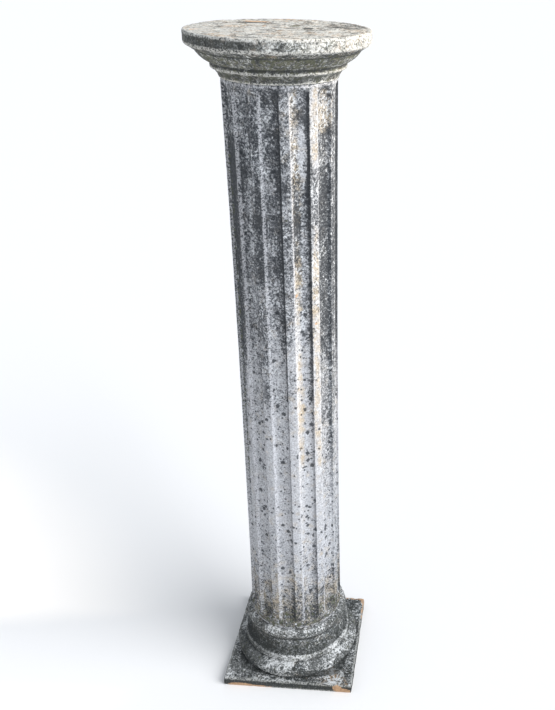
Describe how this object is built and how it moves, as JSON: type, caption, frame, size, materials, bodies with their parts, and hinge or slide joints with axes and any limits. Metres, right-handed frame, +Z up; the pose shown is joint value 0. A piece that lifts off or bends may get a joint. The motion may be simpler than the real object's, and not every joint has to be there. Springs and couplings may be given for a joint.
{
  "type": "doric garden column",
  "caption": "Weathered cast-stone garden column: a round disc capital with ovolo and neck mouldings, a fluted shaft with flat fillets, and an Attic base on a thin square slab.",
  "frame": {"origin": "centre of the slab's underside, where the column stands on the ground", "axes": "+Z up along the column's axis; +X and +Y square to the slab's sides, and -Y is the side that the picture shows most of"},
  "size_m": [0.3024, 0.3024, 1.3],
  "materials": {
    "base_stone": "matte, dark weathered cast stone with pale lichen",
    "shaft_stone": "matte, grey weathered cast stone with black lichen spots",
    "capital_stone": "matte, pale weathered cast stone with grey lichen"
  },
  "bodies": {
    "root": {"column_base": "base_stone", "fluted_shaft": "shaft_stone", "column_capital": "capital_stone"}
  },
  "joints": []
}
